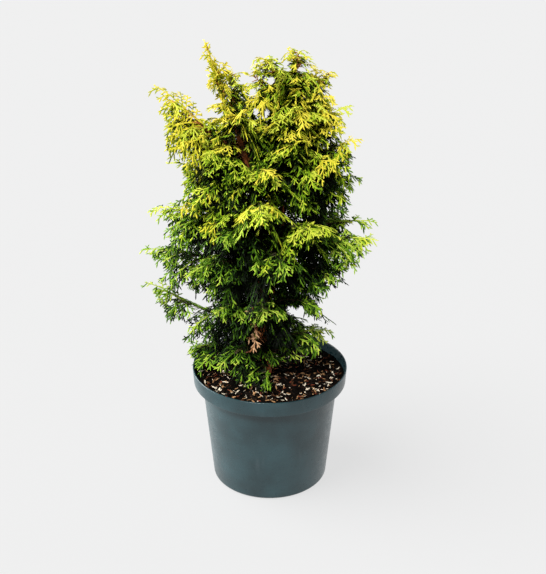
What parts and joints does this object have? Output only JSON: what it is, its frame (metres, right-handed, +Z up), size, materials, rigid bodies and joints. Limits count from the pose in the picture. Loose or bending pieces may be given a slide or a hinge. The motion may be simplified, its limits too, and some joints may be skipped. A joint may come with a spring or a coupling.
{
  "type": "potted dwarf hinoki cypress",
  "caption": "Small evergreen conifer with a dense upright crown of drooping, fan-shaped scale-leaf sprays, golden at the top and deep green below, in a round plastic nursery pot of soil.",
  "frame": {"origin": "the middle of the pot's flat underside, at the height that it stands on", "axes": "+Z up along the pot's axis, -Y towards the front that is seen first, +X to that view's right"},
  "size_m": [0.2768, 0.2177, 0.543],
  "materials": {
    "pot_plastic": "satin moulded polypropylene, dark slate",
    "potting_soil": "matt moist compost with light bark chips",
    "bark": "matt, fibrous, peeling in strips",
    "golden_foliage": "matt waxy scale leaves",
    "lime_foliage": "matt waxy scale leaves",
    "green_foliage": "matt waxy scale leaves",
    "deep_green_foliage": "matt waxy scale leaves",
    "dead_foliage": "matt, dry"
  },
  "bodies": {
    "root": {"pot": "pot_plastic", "potting_soil": "potting_soil", "trunk": "bark", "second_leader": "bark", "left_horn_bough": "bark", "left_tip_middle_bough": "bark", "low_left_bough": "bark", "right_tip_lower_bough": "bark", "back_left_low": "deep_green_foliage", "back_left_middle": "deep_green_foliage", "back_middle": "deep_green_foliage", "back_right_low": "deep_green_foliage", "back_right_middle": "green_foliage", "centre_spray": "golden_foliage", "dead_spray": "dead_foliage", "dome_left": "golden_foliage", "dome_right": "golden_foliage", "dome_top": "golden_foliage", "front_foot": "deep_green_foliage", "front_left_foot": "deep_green_foliage", "front_low": "deep_green_foliage", "front_right_foot": "deep_green_foliage", "front_right_ridge": "lime_foliage", "green_front": "green_foliage", "leader_spray": "golden_foliage", "left_front_low": "deep_green_foliage", "left_front_middle": "green_foliage", "left_front_ridge": "lime_foliage", "left_horn": "golden_foliage", "left_side_upper": "lime_foliage", "left_tip_middle": "green_foliage", "left_tip_upper": "lime_foliage", "low_back_left": "deep_green_foliage", "low_back_right": "deep_green_foliage", "low_left": "deep_green_foliage", "low_left_skirt": "deep_green_foliage", "low_right": "deep_green_foliage", "mid_left_ridge": "lime_foliage", "middle_back_left": "green_foliage", "middle_back_right": "green_foliage", "right_front_low": "deep_green_foliage", "right_front_upper": "lime_foliage", "right_horn": "golden_foliage", "right_low": "green_foliage", "right_shoulder": "golden_foliage", "right_side_upper": "lime_foliage", "right_tip_lower": "green_foliage", "right_tip_upper": "green_foliage", "top_back_left": "lime_foliage", "top_back_right": "lime_foliage", "top_front_right": "golden_foliage", "top_left_fan": "golden_foliage", "top_left_front": "golden_foliage", "top_middle": "golden_foliage", "upper_back_left": "lime_foliage", "upper_back_right": "lime_foliage", "upper_front_centre": "lime_foliage", "upper_front_left": "lime_foliage", "upper_front_right": "golden_foliage"}
  },
  "joints": []
}
